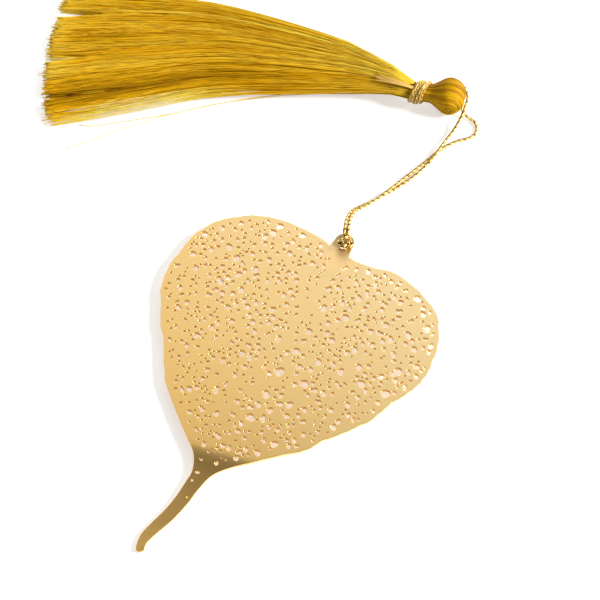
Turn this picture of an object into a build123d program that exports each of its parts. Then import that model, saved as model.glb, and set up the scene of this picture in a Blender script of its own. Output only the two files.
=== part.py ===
from build123d import *
import math
import os
import random

# Driving sizes in millimetres. The origin is on the back of the blade, on the midrib,
# +Y runs along the midrib towards the eyelet and +Z leaves the front of the leaf.
BLADE_HALF = 30.6         # half the width of the leaf
LEAF_REACH = 82.7         # from the eyelet centre to the tip
EYELET_Y = 28.0           # eyelet centre above the origin
PLATE = 0.6               # sheet thickness of the leaf
EYELET_RADIUS = 1.5       # hole that the cord is tied through
TAB_RADIUS = 2.4          # outer radius of the eyelet tab
TAB_BASE = 4.0            # how far the tab runs back into the blade
TAB_BEND_START = 2.3      # distance from the eyelet centre to the start of the tab's bend
TAB_BEND_RADIUS = 3.0
TAB_TURN = 10.0           # degrees that the tab turns up
TAIL_ROOT = 58.5          # distance from the eyelet centre to the start of the tail's bend
TAIL_REACH = 90.0         # generous length of sheet that the tail is cut from
TAIL_BEND_RADIUS = 28.0
TAIL_TURN = 3.62          # degrees that the tail turns down
CUT_MARGIN = 45.0         # half size of the blocks that trim the outline

# Pierced pattern of the blade
HOLE_EDGE = 0.55          # least metal between a hole and the outline
HOLE_WEB = 0.3            # least metal between two holes
RIB_HALF = 1.3            # half width of the bare midrib at the eyelet
RIB_X = 0.95              # the bare midrib lies this far to the right of the Y axis
LARGE_HOLE = 1.0          # radius of the largest opening
MEDIUM_HOLE = 0.46        # middle radius of the holes scattered between the larger openings
LEAST_HOLE = 0.3          # a smaller hole is left out
TAB_CLEAR = 4.6           # bare metal around the eyelet
MEDIUM_COUNT = 190
PATTERN_SEED = 41
hole_spread_share = 0.24  # by which a radius varies
pair_share = 0.36         # of the openings are two holes run together
twin_share = 0.78         # radius of the second hole of a pair
step_share = 0.80         # distance between the two, of the sum of their radii
merge_share = 0.85        # two openings nearer than this, of the sum of their radii, run together
unlike_share = 0.7        # unless their radii differ by more than this, of their distance
thin_from_share = 0.42    # of the leaf's reach, below which the left half has few holes
thin_share = 0.6          # of the holes are left out there
rib_reach_share = 0.5     # of the leaf's reach, over which the bare midrib narrows away

# Cord
CORD = 0.8                # cord diameter
BIGHT_RADIUS = 1.6        # centre line radius of the loop round the eyelet's rim
BIGHT_DROP = 0.5          # the loop's centre hangs this far below the rim
BIGHT_PLAN = 22.0         # degrees from +Y to the loop, towards -X
KNOT_BACK = 1.6           # knot centre behind the eyelet centre
KNOT_RADIUS = 0.88        # centre line radius of the knot's turns
KNOT_LIFT = 0.45          # half height of the knot's turns
KNOT_GAP = 0.3            # air between the knot and the plate
KNOT_TILT = 10.0
PAIR_HALF = 0.52          # half distance between the two legs where they twist

# Tassel
TASSEL_PLAN = 200.5       # degrees from +X to the direction of the skirt
HEAD_RADIUS = 3.8
HEAD_REACH = 8.8          # from the skirt's start back to the middle of the head's dome
NECK_RADIUS = 2.2
NECK_MARGIN = 0.1         # bare neck at each end of the binding
SLICE = 1.0               # tied end of each lock, inside the neck
HEAD_EYE = 0.55           # radius of the cord's way through the head
BINDING = 0.4             # binding thread diameter
BINDING_PITCH = 0.85
BINDING_TURNS = 4
BINDING_GAP = 0.06
SKIRT_COLUMNS = 6         # locks side by side
LOCK_COLUMNS = 5          # strands side by side in one lock
LOCK_ROWS = 5             # strands above each other in one lock
LOCK_GAP = 0.05           # air between two locks at the neck
STRAND_SINK = 0.6         # strands start this far inside the mass of yarn below the neck
STRAND = 0.34             # strand thickness at the skirt's end
SKIRT_LENGTH = 87.0
SKIRT_HALF = 21.2         # half the width of the skirt's end
SKIRT_RAGGED = 2.2
SKIRT_ROUND = 2.9         # fall of the skirt's rounded end
longest_share = 0.45      # of the half width, from the middle to the longest strands

os.makedirs("parts", exist_ok=True)


def unit(v):
    size = math.sqrt(sum(c * c for c in v))
    return tuple(c / size for c in v)


def minus(a, b):
    return tuple(p - q for p, q in zip(a, b))


def plus(a, b, k=1.0):
    return tuple(p + q * k for p, q in zip(a, b))


def dot(a, b):
    return sum(p * q for p, q in zip(a, b))


def cross(a, b):
    return (a[1] * b[2] - a[2] * b[1], a[2] * b[0] - a[0] * b[2], a[0] * b[1] - a[1] * b[0])


def span(a, b):
    return math.sqrt(sum((p - q) ** 2 for p, q in zip(a, b)))


# Leaf outline, from the notch down the right side to the tip and up the left side, as shares of the
# blade's half width and of the leaf's reach below the eyelet.
right_shares = [(0.085, 0.036), (0.163, 0.037), (0.294, 0.030), (0.425, 0.018), (0.556, 0.025),
                (0.686, 0.040), (0.824, 0.067), (0.908, 0.104), (0.961, 0.148), (0.997, 0.200),
                (1.003, 0.254), (0.974, 0.299), (0.916, 0.341), (0.878, 0.382), (0.822, 0.435),
                (0.725, 0.487), (0.628, 0.536), (0.554, 0.581), (0.420, 0.626), (0.298, 0.672),
                (0.185, 0.713), (0.116, 0.749), (0.090, 0.791), (0.078, 0.840), (0.052, 0.892),
                (0.013, 0.938), (-0.005, 0.967), (0.002, 0.990)]
tip_share = (-0.025, 1.0)
left_shares = [(-0.049, 0.992), (-0.067, 0.960), (-0.052, 0.926), (-0.026, 0.885), (-0.010, 0.842),
               (-0.007, 0.796), (-0.011, 0.760), (-0.065, 0.722), (-0.165, 0.692), (-0.308, 0.652),
               (-0.466, 0.605), (-0.582, 0.557), (-0.673, 0.504), (-0.783, 0.455), (-0.871, 0.405),
               (-0.949, 0.356), (-0.986, 0.305), (-0.989, 0.247), (-0.974, 0.181), (-0.918, 0.128),
               (-0.827, 0.086), (-0.706, 0.052), (-0.575, 0.030), (-0.431, 0.020), (-0.278, 0.018),
               (-0.150, 0.022), (-0.085, 0.029)]


def plan(share):
    return (share[0] * BLADE_HALF, EYELET_Y - share[1] * LEAF_REACH)


right_points = [plan(s) for s in right_shares]
left_points = [plan(s) for s in left_shares]
tip_point = plan(tip_share)
ring = right_points + [tip_point] + left_points


def inside(x, y):
    hit = False
    for k in range(len(ring)):
        (x0, y0), (x1, y1) = ring[k - 1], ring[k]
        if (y0 > y) != (y1 > y) and x < x0 + (y - y0) * (x1 - x0) / (y1 - y0):
            hit = not hit
    return hit


def to_edge(x, y):
    best = None
    for k in range(len(ring)):
        (x0, y0), (x1, y1) = ring[k - 1], ring[k]
        dx, dy = x1 - x0, y1 - y0
        t = max(0.0, min(1.0, ((x - x0) * dx + (y - y0) * dy) / (dx * dx + dy * dy)))
        d = math.hypot(x - x0 - t * dx, y - y0 - t * dy)
        best = d if best is None else min(best, d)
    return best


# The larger openings: across, down and radius, as shares of the blade's half width, of the leaf's reach
# below the eyelet and of the largest opening.
opening_shares = [(-0.641, 0.05, 0.8), (-0.477, 0.043, 0.8), (-0.491, 0.069, 0.85), (-0.523, 0.09, 0.7),
                  (-0.296, 0.037, 0.7), (-0.329, 0.067, 0.65), (-0.354, 0.083, 0.6), (-0.912, 0.164, 0.8),
                  (-0.829, 0.125, 0.6), (-0.736, 0.086, 0.6), (-0.704, 0.166, 0.8), (-0.611, 0.187, 0.8),
                  (-0.53, 0.154, 0.6), (-0.805, 0.197, 0.65), (-0.775, 0.207, 0.55),
                  (-0.528, 0.227, 0.75), (-0.505, 0.209, 0.55), (-0.444, 0.192, 0.75),
                  (-0.898, 0.233, 0.7), (-0.82, 0.266, 0.65), (-0.63, 0.264, 0.6), (-0.602, 0.27, 0.65),
                  (-0.578, 0.25, 0.65), (-0.444, 0.264, 0.7), (-0.481, 0.284, 0.6), (-0.546, 0.296, 0.6),
                  (-0.384, 0.288, 0.6), (-0.335, 0.299, 0.7), (-0.3, 0.278, 0.6), (-0.17, 0.274, 0.7),
                  (-0.241, 0.331, 0.6), (-0.287, 0.32, 0.6), (-0.454, 0.326, 0.65), (-0.162, 0.221, 0.6),
                  (-0.143, 0.202, 0.6), (-0.106, 0.243, 0.6), (-0.326, 0.206, 0.6), (-0.292, 0.175, 0.6),
                  (-0.301, 0.103, 0.65), (-0.215, 0.068, 0.65), (-0.118, 0.1, 0.65),
                  (-0.037, 0.092, 0.55), (-0.144, 0.167, 0.6), (-0.4, 0.147, 0.6), (-0.829, 0.338, 0.55),
                  (-0.37, 0.356, 0.6), (-0.19, 0.353, 0.6), (-0.079, 0.315, 0.65), (-0.722, 0.367, 0.6),
                  (0.231, 0.093, 0.6), (0.321, 0.089, 0.55), (0.406, 0.09, 0.6), (0.264, 0.049, 0.6),
                  (0.326, 0.054, 0.55), (0.444, 0.045, 0.55), (0.5, 0.053, 0.55), (0.672, 0.057, 0.8),
                  (0.524, 0.083, 0.6), (0.581, 0.089, 0.65), (0.763, 0.091, 0.7), (0.842, 0.125, 0.85),
                  (0.142, 0.131, 0.65), (0.312, 0.132, 0.75), (0.274, 0.143, 0.55), (0.496, 0.132, 0.6),
                  (0.227, 0.166, 0.6), (0.576, 0.167, 0.7), (0.751, 0.164, 0.75), (0.93, 0.164, 0.6),
                  (0.84, 0.194, 0.7), (0.661, 0.199, 0.75), (0.51, 0.204, 0.65), (0.307, 0.2, 0.8),
                  (0.137, 0.204, 0.8), (0.269, 0.217, 0.55), (0.619, 0.213, 0.6), (0.571, 0.236, 0.6),
                  (0.222, 0.237, 0.6), (0.737, 0.234, 0.65), (0.916, 0.235, 0.65), (0.949, 0.26, 0.55),
                  (0.255, 0.264, 0.6), (0.312, 0.276, 0.7), (0.486, 0.271, 0.75), (0.449, 0.288, 0.6),
                  (0.826, 0.271, 0.9), (0.808, 0.283, 0.65), (0.841, 0.297, 0.65), (0.137, 0.283, 0.75),
                  (0.576, 0.309, 0.7), (0.741, 0.306, 0.65), (0.706, 0.318, 0.6), (0.416, 0.335, 0.55),
                  (0.831, 0.342, 0.95), (0.652, 0.348, 0.85), (0.486, 0.344, 0.75), (0.142, 0.349, 0.8),
                  (0.316, 0.348, 0.75), (0.09, 0.365, 0.55), (-0.11, 0.384, 0.55), (-0.466, 0.398, 0.6),
                  (-0.522, 0.437, 0.7), (-0.175, 0.423, 0.7), (-0.263, 0.465, 0.6), (-0.105, 0.454, 0.55),
                  (-0.133, 0.487, 0.55), (-0.318, 0.509, 0.55), (-0.346, 0.578, 0.65),
                  (-0.087, 0.602, 0.6), (0.219, 0.384, 0.65), (0.297, 0.377, 0.6), (0.121, 0.422, 1),
                  (0.316, 0.42, 0.9), (0.464, 0.42, 0.65), (0.26, 0.434, 0.55), (0.649, 0.417, 0.65),
                  (0.69, 0.442, 0.55), (0.57, 0.451, 0.6), (0.131, 0.494, 0.85), (0.307, 0.49, 0.75),
                  (0.413, 0.483, 0.6), (0.649, 0.489, 0.65), (0.334, 0.52, 0.6), (0.126, 0.528, 0.65),
                  (0.214, 0.528, 0.65), (0.126, 0.569, 0.9), (0.469, 0.569, 0.55), (0.367, 0.602, 0.75),
                  (0.302, 0.643, 0.65), (0.2, 0.681, 0.55)]


def free_metal(x, y, circles):
    # Largest radius that leaves enough metal round a hole at this place.
    if not inside(x, y):
        return 0.0
    limits = [to_edge(x, y) - HOLE_EDGE, math.hypot(x, y - EYELET_Y) - TAB_CLEAR,
              y - EYELET_Y + TAIL_ROOT - HOLE_EDGE]
    return min(limits + [math.hypot(x - c[0], y - c[1]) - c[2] - HOLE_WEB for c in circles])


def runs_into(a, b):
    apart = math.hypot(a[0] - b[0], a[1] - b[1])
    return apart < merge_share * (a[2] + b[2]) and abs(a[2] - b[2]) < unlike_share * apart


def placed_openings():
    # The larger openings, each as one hole or two run together, made smaller where metal would be short.
    openings = []
    for across, down, size in opening_shares:
        x, y = plan((across, down))
        r = size * LARGE_HOLE
        partner = next((f for f in openings if len(f) == 1 and runs_into(f[0], (x, y, r))), [])
        others = [c for f in openings if f is not partner for c in f]
        r = min(r, free_metal(x, y, others))
        joined = partner and runs_into(partner[0], (x, y, r))
        if not joined:
            r = min(r, free_metal(x, y, others + partner))
        if r < LEAST_HOLE:
            continue
        if joined:
            partner.append((x, y, r))
        else:
            openings.append([(x, y, r)])
    return openings


def scatter(openings):
    # Smaller holes are thrown at random between the others and kept where there is enough metal.
    rng = random.Random(PATTERN_SEED)
    circles = [c for found in openings for c in found]
    low = min(p[1] for p in ring)
    wide = max(abs(p[0]) for p in ring)
    made, tries = 0, 0
    while made < MEDIUM_COUNT and tries < 60 * MEDIUM_COUNT:
        tries += 1
        x = rng.uniform(-wide, wide)
        y = rng.uniform(low, EYELET_Y)
        r = MEDIUM_HOLE * (1.0 + hole_spread_share * rng.uniform(-1.0, 1.0))
        turn = rng.uniform(0.0, 2.0 * math.pi)
        twin = rng.random() < pair_share
        left_out = rng.random() < thin_share
        down = EYELET_Y - y
        if left_out and x < 0.0 and down > thin_from_share * LEAF_REACH:
            continue
        rib = RIB_HALF * (1.0 - down / (rib_reach_share * LEAF_REACH))
        if abs(x - RIB_X) < rib + r or free_metal(x, y, circles) < r:
            continue
        found = [(x, y, r)]
        if twin:
            q = r * twin_share
            step = step_share * (r + q)
            other = (x + step * math.cos(turn), y + step * math.sin(turn), q)
            if abs(other[0] - RIB_X) > rib + q and free_metal(other[0], other[1], circles) > q:
                found.append(other)
        made += 1
        openings.append(found)
        circles.extend(found)
    return openings


def opening_outline(found, sides, turn):
    # Outline of one hole, or of two holes run together, as a list of points.
    if len(found) == 1:
        x, y, r = found[0]
        return [(x + r * math.cos(turn + 2 * math.pi * k / sides),
                 y + r * math.sin(turn + 2 * math.pi * k / sides)) for k in range(sides)]
    (x0, y0, r0), (x1, y1, r1) = found
    d = math.hypot(x1 - x0, y1 - y0)
    way = math.atan2(y1 - y0, x1 - x0)
    h0 = math.acos((d * d + r0 * r0 - r1 * r1) / (2 * d * r0))
    h1 = math.acos((d * d + r1 * r1 - r0 * r0) / (2 * d * r1))
    points = []
    n0 = max(3, round(sides * (2 * math.pi - 2 * h0) / (2 * math.pi)))
    n1 = max(3, round(sides * (2 * math.pi - 2 * h1) / (2 * math.pi)))
    for k in range(n0):
        a = way + h0 + (2 * math.pi - 2 * h0) * k / n0
        points.append((x0 + r0 * math.cos(a), y0 + r0 * math.sin(a)))
    for k in range(n1):
        a = way + math.pi + h1 + (2 * math.pi - 2 * h1) * k / n1
        points.append((x1 + r1 * math.cos(a), y1 + r1 * math.sin(a)))
    return points


def flat_edges(points, z=0.0):
    return [Line((*points[k - 1], z), (*points[k], z)) for k in range(len(points))]


# The leaf: one sheet, with the blade pierced, the tab turned up and the tail turned down
outline = [Spline(*[(x, y, 0.0) for x, y in right_points]),
           ThreePointArc((*right_points[-1], 0.0), (*tip_point, 0.0), (*left_points[0], 0.0)),
           Spline(*[(x, y, 0.0) for x, y in left_points]),
           Line((*left_points[-1], 0.0), (*right_points[0], 0.0))]
whole = Face(Wire([e.edge() for e in outline]))
root_y = EYELET_Y - TAIL_ROOT
above = Pos(0, root_y + CUT_MARGIN) * Rectangle(2 * CUT_MARGIN, 2 * CUT_MARGIN)
below = Pos(0, root_y - CUT_MARGIN) * Rectangle(2 * CUT_MARGIN, 2 * CUT_MARGIN)
blade_face = (Sketch() + whole & above).face()
tail_face = (Sketch() + whole & below).face()
openings = scatter(placed_openings())
wires = []
for k, found in enumerate(openings):
    sides = 8 if found[0][2] > (LARGE_HOLE + MEDIUM_HOLE) / 2 else 6
    wires.append(Wire([e.edge() for e in flat_edges(opening_outline(found, sides, k))]))
pierced = Face(blade_face.outer_wire(), wires)
if pierced.normal_at().Z < 0:
    pierced = -pierced
blade = extrude(pierced, amount=PLATE, dir=(0, 0, 1))


def bent_sheet(start, bend, radius, turn, reach, half, way, rise):
    # A strip of sheet from y=start that bends at y=bend; way is +1 towards +Y, rise is +1 upwards.
    inner = radius if rise < 0 else radius - PLATE
    outer = radius + PLATE if rise < 0 else radius
    back, front = (inner, outer) if rise < 0 else (outer, inner)
    centre = -radius if rise < 0 else radius
    a = math.radians(turn)

    def at(r, angle):
        return (-half, bend + way * r * math.sin(angle), centre - rise * r * math.cos(angle))

    def run(p):
        return (p[0], p[1] + way * reach * math.cos(a), p[2] + rise * reach * math.sin(a))

    p0, p1, pm, p2 = (-half, start, 0.0), at(back, 0.0), at(back, a / 2), at(back, a)
    q0, q1, qm, q2 = (-half, start, PLATE), at(front, 0.0), at(front, a / 2), at(front, a)
    edges = [ThreePointArc(p1, pm, p2), Line(p2, run(p2)), Line(run(p2), run(q2)), Line(run(q2), q2),
             ThreePointArc(q2, qm, q1)]
    if abs(start - bend) > PLATE:
        edges = [Line(p0, p1)] + edges + [Line(q1, q0), Line(q0, p0)]
    else:
        edges = edges + [Line(q1, p1)]
    face = Face(Wire([e.edge() for e in edges]))
    return extrude(face, amount=2 * half, dir=(1, 0, 0)), run(p2)


bend_y = EYELET_Y - TAB_BEND_START
tab_sheet, tab_far = bent_sheet(EYELET_Y - TAB_BASE, bend_y, TAB_BEND_RADIUS, TAB_TURN,
                                TAB_BEND_START + 2 * TAB_RADIUS, TAB_RADIUS, 1, 1)
tab_plan = Pos(0, EYELET_Y) * Circle(TAB_RADIUS)
tab_plan += Pos(0, EYELET_Y - TAB_BASE / 2) * Rectangle(2 * TAB_RADIUS, TAB_BASE)
tab_prism = Pos(0, 0, -CUT_MARGIN / 2) * extrude(tab_plan, amount=CUT_MARGIN, dir=(0, 0, 1))
tab = tab_sheet & tab_prism
tab_lean = math.radians(TAB_TURN)


def tab_middle(y):
    # Height of the middle of the tab's sheet at y, beyond its bend.
    swing = TAB_BEND_RADIUS * math.sin(tab_lean)
    rise = TAB_BEND_RADIUS * (1 - math.cos(tab_lean))
    return rise + (y - bend_y - swing) * math.tan(tab_lean) + PLATE / 2 / math.cos(tab_lean)


eye_plane = Plane(origin=(0, EYELET_Y, tab_middle(EYELET_Y)), x_dir=(1, 0, 0),
                  z_dir=(0, -math.sin(tab_lean), math.cos(tab_lean)))
tab = tab - eye_plane * Cylinder(EYELET_RADIUS, 4 * PLATE)
tail_sheet, tail_far = bent_sheet(root_y, root_y, TAIL_BEND_RADIUS, TAIL_TURN, TAIL_REACH - TAIL_ROOT,
                                  CUT_MARGIN, -1, -1)
tail_prism = Pos(0, 0, -CUT_MARGIN / 2) * extrude(tail_face, amount=CUT_MARGIN, dir=(0, 0, 1))
tail = tail_sheet & tail_prism
leaf_plate = (blade.fuse(tab, tail)).clean()
leaf_plate = leaf_plate.solids()[0] if len(leaf_plate.solids()) == 1 else leaf_plate
print("openings", len(openings), "leaf solids", len(leaf_plate.solids()), "volume", leaf_plate.volume)

# Loop of the cord round the rim of the eyelet
bight_way = (-math.sin(math.radians(BIGHT_PLAN)), math.cos(math.radians(BIGHT_PLAN)), 0.0)
bight_axis = (math.cos(math.radians(BIGHT_PLAN)), math.sin(math.radians(BIGHT_PLAN)), 0.0)
rim = (EYELET_RADIUS + TAB_RADIUS) / 2
rim_y = EYELET_Y + rim * bight_way[1]
bight_centre = (rim * bight_way[0], rim_y, tab_middle(rim_y) - BIGHT_DROP)
table_z = bight_centre[2] - BIGHT_RADIUS - CORD / 2
eyelet_bight = Plane(origin=bight_centre, x_dir=bight_way, z_dir=bight_axis) * Torus(BIGHT_RADIUS, CORD / 2)
print("hinge at the eyelet", bight_centre, "axis", bight_axis, "table", table_z)
tail_low = min(v.Z for v in leaf_plate.vertices())
print("tail tip above the table", tail_low - table_z)


def biarc_edges(points, tangents):
    edges = []
    for k in range(len(points) - 1):
        p, q, s, t = points[k], points[k + 1], tangents[k], tangents[k + 1]
        v = minus(q, p)
        b = plus(s, t)
        c = 2.0 * (1.0 - dot(s, t))
        if abs(c) < 1e-9:
            d = dot(v, v) / (4.0 * dot(v, t))
        else:
            vb = dot(v, b)
            d = (-vb + math.sqrt(vb * vb + c * dot(v, v))) / c
        a1, a2 = plus(p, s, d), plus(q, t, -d)
        m = tuple((x + y) / 2 for x, y in zip(a1, a2))
        edges.append(Edge.make_tangent_arc(p, s, m))
        edges.append(Edge.make_tangent_arc(m, unit(minus(a2, a1)), q))
    return edges


def tube(edges, start, way, thick, sides, name):
    path = Wire(edges)
    helper = (0.0, 0.0, 1.0) if abs(way[2]) < 0.9 else (1.0, 0.0, 0.0)
    plane = Plane(origin=start, x_dir=unit(cross(helper, way)), z_dir=way)
    section = plane * RegularPolygon(thick / 2, sides)
    solid = sweep(section, path=path)
    area = sides / 2.0 * (thick / 2) ** 2 * math.sin(2 * math.pi / sides)
    print(name, "length %.2f" % path.length, "volume share %.3f" % (solid.volume / (area * path.length)))
    return solid.solids()[0]


def rounded_route(points):
    # Straight runs joined by arcs, each arc as round as its runs allow.
    edges, at, radii = [], points[0], []
    for k in range(1, len(points) - 1):
        into, out = unit(minus(points[k], points[k - 1])), unit(minus(points[k + 1], points[k]))
        trim = 0.45 * min(span(points[k], points[k - 1]), span(points[k + 1], points[k]))
        first, last = plus(points[k], into, -trim), plus(points[k], out, trim)
        half = math.acos(max(-1.0, min(1.0, dot(into, out)))) / 2
        if half < 0.004:
            continue
        radii.append(trim / math.tan(half))
        edges.append(Edge.make_line(at, first))
        edges.append(Edge.make_tangent_arc(first, into, last))
        at = last
    edges.append(Edge.make_line(at, points[-1]))
    print("radii", " ".join("%.1f" % r for r in radii))
    return edges


# Knot, tied over the eyelet
knot_centre = (-KNOT_BACK * bight_way[0], EYELET_Y - KNOT_BACK * bight_way[1],
               PLATE + KNOT_GAP + KNOT_LIFT + CORD / 2)
lean = math.radians(KNOT_TILT)


def knot_point(t):
    r = KNOT_RADIUS + KNOT_LIFT * math.cos(3 * t)
    x, y, z = r * math.cos(2 * t), r * math.sin(2 * t), KNOT_LIFT * math.sin(3 * t)
    y, z = y * math.cos(lean) + z * math.sin(lean), z * math.cos(lean) - y * math.sin(lean)
    side, up = x, z + KNOT_RADIUS * math.sin(lean)
    return tuple(knot_centre[k] + bight_axis[k] * side + bight_way[k] * y + (up if k == 2 else 0.0)
                 for k in range(3))


KNOT_STEPS = 20
knot_first_share, knot_last_share = 0.27, 0.965
knot_times = [2 * math.pi * (knot_first_share + knot_last_share * k / KNOT_STEPS)
              for k in range(KNOT_STEPS + 1)]
knot_points = [knot_point(t) for t in knot_times]
knot_ways = [unit(minus(knot_point(t + 1e-5), knot_point(t - 1e-5))) for t in knot_times]
cord_knot = tube(biarc_edges(knot_points, knot_ways), knot_points[0], knot_ways[0], CORD, 8, "knot")

# Cord legs. Route points are from the eyelet centre, with the height above the table; the last
# number of the twisted stretch is the pair's turn in degrees.
pair_route = [(-0.2, 0.8, 4.4, 0), (-0.8, 2.1, 4.55, 6), (-2.1, 5.4, 3.6, 24), (-2.3, 8.9, 1.9, 48),
              (-0.6, 12.4, 1.05, 76), (1.3, 16.6, 1.0, 118), (3.0, 20.9, 1.0, 166), (4.6, 25.4, 1.0, 208),
              (5.7, 29.9, 1.0, 246), (6.2, 33.4, 1.0, 272)]
leg_a_route = [(6.35, 36.6, 1.0), (6.6, 40.4, 0.95), (6.75, 43.15, 2.2), (6.6, 45.15, 3.5),
               (5.75, 49.25, 3.8), (2.2, 51.4, 3.8), (0.07, 51.1, 3.8), (1.85, 46.35, 3.8)]
leg_b_route = [(7.1, 35.7, 0.5), (8.7, 38.4, 0.5), (11.0, 40.4, 0.5), (11.4, 42.8, 0.5), (9.9, 45.2, 0.5),
               (7.6, 45.3, 0.6), (5.3, 43.1, 1.2), (3.64, 41.57, 3.8), (1.85, 46.35, 3.8)]


def placed(point):
    return (point[0], point[1] + EYELET_Y, point[2] + table_z)


def leg_route(rest, opposite):
    middle = [placed(s) for s in pair_route]
    points = []
    for k, p in enumerate(middle):
        ahead = unit(minus(middle[min(k + 1, len(middle) - 1)], middle[max(k - 1, 0)]))
        side = unit(cross((0.0, 0.0, 1.0), ahead))
        up = cross(ahead, side)
        turn = math.radians(pair_route[k][3]) + (math.pi if opposite else 0.0)
        points.append(plus(plus(p, side, -PAIR_HALF * math.cos(turn)), up, PAIR_HALF * math.sin(turn)))
    return points + [placed(s) for s in rest]


head_centre = placed(leg_a_route[-1])
route_a, route_b = leg_route(leg_a_route, True), leg_route(leg_b_route, False)
cord_leg_a = tube(rounded_route(route_a), route_a[0], unit(minus(route_a[1], route_a[0])), CORD, 8, "leg a")
cord_leg_b = tube(rounded_route(route_b), route_b[0], unit(minus(route_b[1], route_b[0])), CORD, 8, "leg b")

# Tassel, built along its own axis: x down the skirt, y to the near side, z up
tassel_way = (math.cos(math.radians(TASSEL_PLAN)), math.sin(math.radians(TASSEL_PLAN)), 0.0)
tassel_plane = Plane(origin=plus(head_centre, tassel_way, HEAD_REACH), x_dir=tassel_way, z_dir=(0, 0, 1))
tassel_height = head_centre[2] - table_z
winding_length = BINDING_TURNS * BINDING_PITCH
neck_end = -winding_length - BINDING - 2 * NECK_MARGIN
reach = math.hypot(neck_end + HEAD_REACH, NECK_RADIUS)
touch = math.atan2(NECK_RADIUS, neck_end + HEAD_REACH) + math.acos(HEAD_RADIUS / reach)


def dome(angle):
    return (-HEAD_REACH + HEAD_RADIUS * math.cos(angle), 0.0, HEAD_RADIUS * math.sin(angle))


profile = [Line((-SLICE, 0, 0), (-SLICE, 0, NECK_RADIUS)),
           Line((-SLICE, 0, NECK_RADIUS), (neck_end, 0, NECK_RADIUS)),
           Line((neck_end, 0, NECK_RADIUS), dome(touch)),
           ThreePointArc(dome(touch), dome((touch + math.pi) / 2), dome(math.pi)),
           Line(dome(math.pi), (-SLICE, 0, 0))]
head = revolve(Face(Wire([e.edge() for e in profile])), axis=Axis.X)
head = head - Pos(-HEAD_REACH, 0, 0) * Rot(90, 0, 0) * Cylinder(HEAD_EYE, 4 * HEAD_RADIUS)
tassel_head = tassel_plane * head

winding = NECK_RADIUS + BINDING_GAP + BINDING / 2
steps = 4 * BINDING_TURNS


def winding_point(k):
    a = math.pi / 2 * k
    along = neck_end + NECK_MARGIN + BINDING / 2 + BINDING_PITCH * k / 4
    return (along, winding * math.cos(a), winding * math.sin(a))


def winding_way(k):
    a = math.pi / 2 * k
    return unit((BINDING_PITCH / (2 * math.pi), -winding * math.sin(a), winding * math.cos(a)))


winding_edges = biarc_edges([winding_point(k) for k in range(steps + 1)],
                            [winding_way(k) for k in range(steps + 1)])
winding_lean = math.atan(BINDING_PITCH / (2 * math.pi * winding))
print("binding gap to itself", BINDING_PITCH * math.cos(winding_lean) - BINDING)
neck_binding = tassel_plane * tube(winding_edges, winding_point(0), winding_way(0), BINDING, 6, "binding")

# Stations of the skirt: distance, as a share of its length; middle and half width across, of its half
# width; middle height and half height, of the tassel's height; strand thickness
station_shares = [(0.095, -0.151, 0.226, 0.87, 0.63, 0.47), (0.21, -0.242, 0.377, 0.70, 0.59, 0.54),
                  (0.53, -0.267, 0.649, 0.53, 0.45, 0.77), (1.0, 0.132, 1.0, 0.38, 0.30, 0.94)]
tied_half = NECK_RADIUS - 2 * LOCK_GAP
stations = [(0.0, 0.0, tied_half, 0.0, tied_half, STRAND * station_shares[0][5])]
for at, middle, half, height, deep, thick in station_shares:
    stations.append((at * SKIRT_LENGTH, middle * SKIRT_HALF, half * SKIRT_HALF, (height - 1) * tassel_height,
                     deep * tassel_height, thick * STRAND))
sections = [s[0] for s in stations]
solid_end = sections[1]


def station(x):
    # Middle, half width, middle height, half height and strand thickness at a distance down the skirt.
    for s0, s1 in zip(stations[:-1], stations[1:]):
        if x <= s1[0] or s1 is stations[-1]:
            t = (x - s0[0]) / (s1[0] - s0[0])
            return [a + (b - a) * t for a, b in zip(s0[1:], s1[1:])]


def block(x0, x1, box0, box1):
    # A bar with a rectangular section that changes evenly from x0 to x1.
    corners = []
    for x, (y0, y1, z0, z1) in ((x0, box0), (x1, box1)):
        corners.append([(x, y0, z0), (x, y1, z0), (x, y1, z1), (x, y0, z1)])
    return prism_solid(corners)


def prism_solid(stations):
    n = len(stations[0])
    ends = [stations[0], stations[-1]]
    faces = [Face(Wire.make_polygon(end, close=True)) for end in ends]
    for a, b in zip(stations[:-1], stations[1:]):
        for k in range(n):
            m = (k + 1) % n
            faces.append(Face(Wire.make_polygon([a[k], a[m], b[m], b[k]], close=True)))
    return Solid(Shell(faces))


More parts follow.
